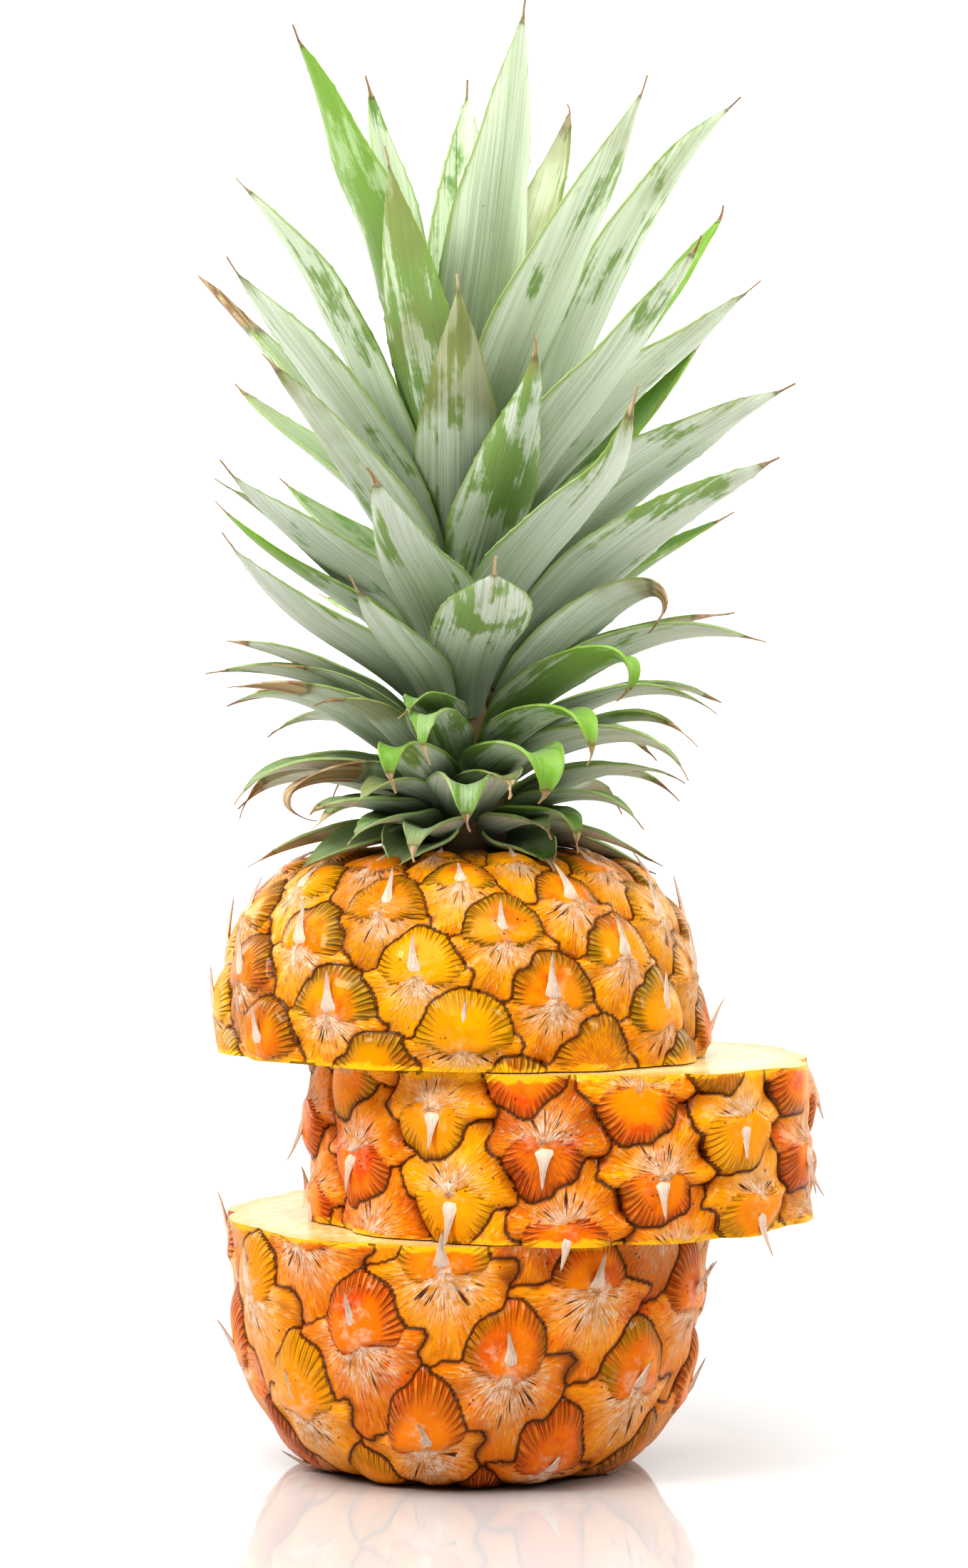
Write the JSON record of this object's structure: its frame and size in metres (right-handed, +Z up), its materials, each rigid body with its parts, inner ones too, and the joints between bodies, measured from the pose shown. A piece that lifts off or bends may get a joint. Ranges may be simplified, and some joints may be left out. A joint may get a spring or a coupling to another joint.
{
  "type": "pineapple",
  "caption": "Pineapple cut crosswise into three stacked pieces, the middle slice upside down and set to one side, with its full leaf crown, resting on a small flat spot.",
  "frame": {"origin": "middle of the flat spot that the base piece rests on", "axes": "+Z up along the stack, -Y the front, +X the side the middle slice is pushed towards"},
  "size_m": [0.1509, 0.1427, 0.3608],
  "materials": {
    "rind_and_flesh": "wet, glossy yellow-orange rind of crimped eyes with papery pinkish spikes, and moist yellow flesh on the cut faces",
    "crown_leaf": "satin green blade under a pale grey-green wax bloom, darker green inside, dry brown tip"
  },
  "bodies": {
    "root": {"fruit_base": "rind_and_flesh", "fruit_slice": "rind_and_flesh", "fruit_shoulder": "rind_and_flesh", "crown_leaf_01": "crown_leaf", "crown_leaf_02": "crown_leaf", "crown_leaf_03": "crown_leaf", "crown_leaf_04": "crown_leaf", "crown_leaf_05": "crown_leaf", "crown_leaf_06": "crown_leaf", "crown_leaf_07": "crown_leaf", "crown_leaf_08": "crown_leaf", "crown_leaf_09": "crown_leaf", "crown_leaf_10": "crown_leaf", "crown_leaf_11": "crown_leaf", "crown_leaf_12": "crown_leaf", "crown_leaf_13": "crown_leaf", "crown_leaf_14": "crown_leaf", "crown_leaf_15": "crown_leaf", "crown_leaf_16": "crown_leaf", "crown_leaf_17": "crown_leaf", "crown_leaf_18": "crown_leaf", "crown_leaf_19": "crown_leaf", "crown_leaf_20": "crown_leaf", "crown_leaf_21": "crown_leaf", "crown_leaf_22": "crown_leaf", "crown_leaf_23": "crown_leaf", "crown_leaf_24": "crown_leaf", "crown_leaf_25": "crown_leaf", "crown_leaf_26": "crown_leaf", "crown_leaf_27": "crown_leaf", "crown_leaf_28": "crown_leaf", "crown_leaf_29": "crown_leaf", "crown_leaf_30": "crown_leaf", "crown_leaf_31": "crown_leaf", "crown_leaf_32": "crown_leaf", "crown_leaf_33": "crown_leaf", "crown_leaf_34": "crown_leaf", "crown_leaf_35": "crown_leaf", "crown_leaf_36": "crown_leaf", "crown_leaf_37": "crown_leaf", "crown_leaf_38": "crown_leaf", "crown_leaf_39": "crown_leaf", "crown_leaf_40": "crown_leaf", "crown_leaf_41": "crown_leaf", "crown_leaf_42": "crown_leaf", "crown_leaf_43": "crown_leaf", "crown_leaf_44": "crown_leaf", "crown_leaf_45": "crown_leaf", "crown_leaf_46": "crown_leaf", "crown_leaf_47": "crown_leaf", "crown_leaf_48": "crown_leaf", "crown_leaf_49": "crown_leaf", "crown_leaf_50": "crown_leaf", "crown_leaf_51": "crown_leaf", "crown_leaf_52": "crown_leaf", "crown_leaf_53": "crown_leaf", "crown_leaf_54": "crown_leaf", "crown_leaf_55": "crown_leaf", "crown_leaf_56": "crown_leaf", "crown_leaf_57": "crown_leaf"}
  },
  "joints": []
}
